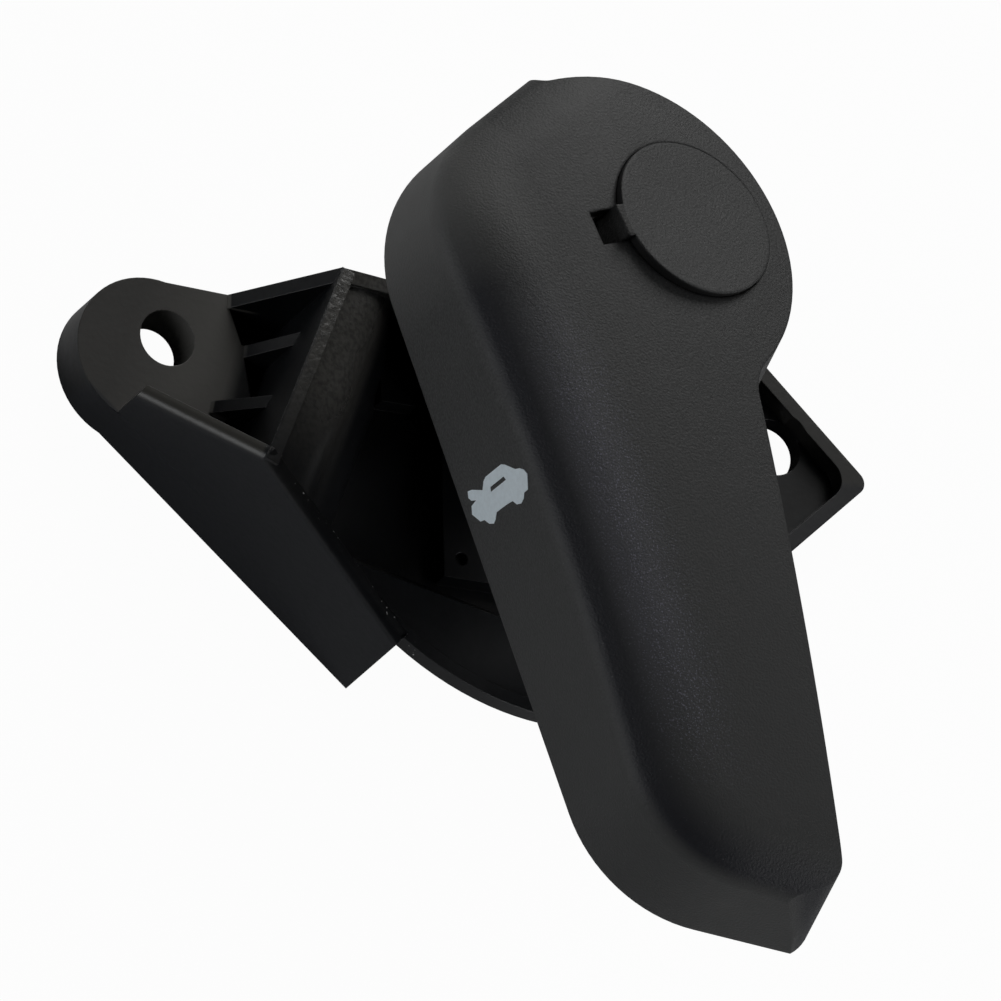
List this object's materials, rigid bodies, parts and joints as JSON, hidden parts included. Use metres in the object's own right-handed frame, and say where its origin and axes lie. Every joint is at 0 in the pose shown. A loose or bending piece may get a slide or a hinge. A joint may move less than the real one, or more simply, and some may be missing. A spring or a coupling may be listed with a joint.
{
  "type": "hood release handle",
  "caption": "Hood release handle: a hollow crowned lever with a capped pivot on a bracket with an ear, a ribbed pocket, a slanted dish and a tray.",
  "frame": {"origin": "midway between the two fixing holes, on the mounting face of the bracket", "axes": "+X along the row of fixing holes from the ear to the tray, +Y towards the head side of the lever, +Z away from the mounting face along the lever's pivot"},
  "size_m": [0.1163, 0.1189, 0.0732],
  "materials": {
    "bracket_plastic": "gloss",
    "lever_plastic": "matte",
    "cap_plastic": "matte",
    "zinc_steel": "satin",
    "arm_plastic": "matte",
    "spring_steel": "satin"
  },
  "bodies": {
    "mount_bracket": {"bracket": "bracket_plastic", "pivot_screw": "zinc_steel", "washer": "zinc_steel", "return_spring": "spring_steel"},
    "swing_lever": {"lever": "lever_plastic", "pivot_cap": "cap_plastic", "cable_arm": "arm_plastic"}
  },
  "joints": [
    {"name": "lever_pivot", "type": "hinge", "parent": "mount_bracket", "child": "swing_lever", "pos_m": [0.0044, 0.0014, 0.05], "axis": [0, 0, 1], "range_deg": [-45, 0], "stiffness_Nm_per_rad": 0.2, "springref_deg": 28.65, "deforming": ["return_spring"]}
  ]
}
